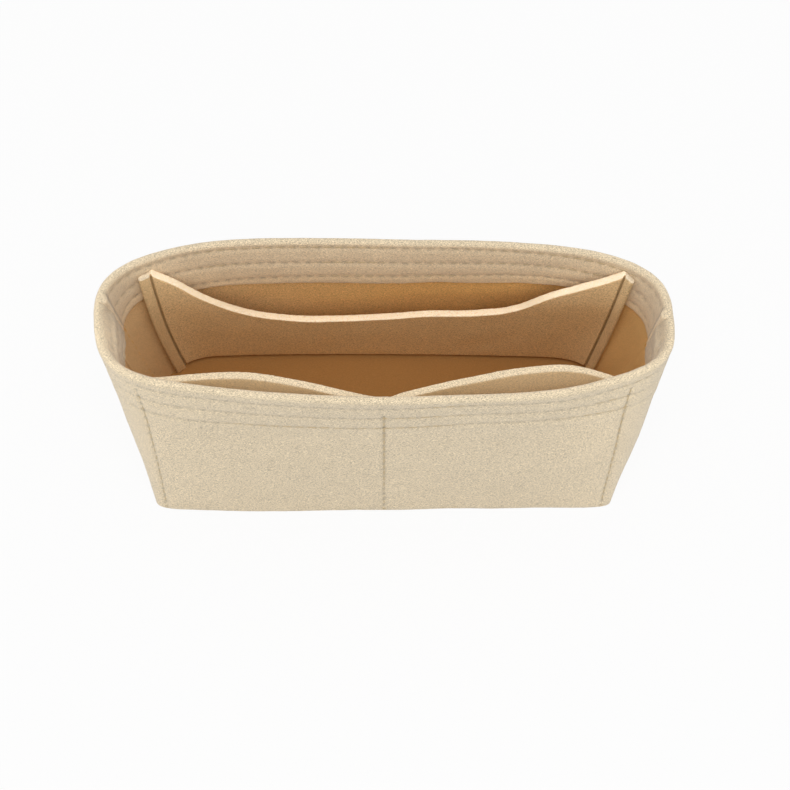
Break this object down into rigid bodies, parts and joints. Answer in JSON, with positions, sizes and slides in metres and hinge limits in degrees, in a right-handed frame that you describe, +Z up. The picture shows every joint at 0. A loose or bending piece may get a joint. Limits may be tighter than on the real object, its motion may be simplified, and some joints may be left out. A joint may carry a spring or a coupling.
{
  "type": "purse organizer insert",
  "caption": "Felt purse organizer insert: open oval tube with a stitched turned-in hem, flat oblong base, a sewn-in rear divider that bows forward and front pockets that gape inward.",
  "frame": {"origin": "on the table under the middle of the whole insert's outline", "axes": "+X to the right along the insert's length, +Y to the back, where the divider is, +Z up"},
  "size_m": [0.2106, 0.0822, 0.086],
  "materials": {
    "wall_felt": "sand needle felt, about 2 mm",
    "panel_felt": "sand needle felt, about 3 mm, cut edges left raw",
    "base_felt": "sand needle felt, about 3 mm",
    "thread": "matching polyester sewing thread"
  },
  "bodies": {
    "insert": {"back_wall": "wall_felt", "front_wall": "wall_felt", "base_panel": "base_felt", "divider_end_left": "panel_felt", "divider_end_right": "panel_felt", "pocket_border": "panel_felt", "hem_row_upper_outside": "thread", "hem_row_upper_inside": "thread", "hem_row_middle_outside": "thread", "hem_row_middle_inside": "thread", "hem_row_lower_outside": "thread", "hem_row_lower_inside": "thread", "base_seam": "thread", "pocket_seam_left_outside": "thread", "pocket_seam_left_inside": "thread", "pocket_seam_centre_outside": "thread", "pocket_seam_centre_inside": "thread", "pocket_seam_right_outside": "thread", "pocket_seam_right_inside": "thread", "pocket_foot_seam_outside": "thread", "pocket_foot_seam_inside": "thread", "tab_seam_left_outside": "thread", "tab_seam_left_inside": "thread", "tab_seam_right_outside": "thread", "tab_seam_right_inside": "thread", "lap_seam_left_outside": "thread", "lap_seam_left_inside": "thread", "lap_seam_right_outside": "thread", "lap_seam_right_inside": "thread", "bar_tack_left": "thread", "bar_tack_right": "thread"},
    "divider": {"divider_panel": "panel_felt"},
    "left_pocket": {"pocket_panel_left": "panel_felt"},
    "right_pocket": {"pocket_panel_right": "panel_felt"}
  },
  "joints": [
    {"name": "divider_bow", "type": "slide", "parent": "insert", "child": "divider", "axis": [0, -1, 0], "range_m": [0, 0.01], "stiffness_N_per_m": 120},
    {"name": "left_pocket_gape", "type": "hinge", "parent": "insert", "child": "left_pocket", "pos_m": [-0.04, -0.0328, 0.0095], "axis": [-1, 0, 0], "range_deg": [0, 8], "stiffness_Nm_per_rad": 0.08},
    {"name": "right_pocket_gape", "type": "hinge", "parent": "insert", "child": "right_pocket", "pos_m": [0.04, -0.0328, 0.0095], "axis": [-1, 0, 0], "range_deg": [0, 8], "stiffness_Nm_per_rad": 0.08}
  ]
}
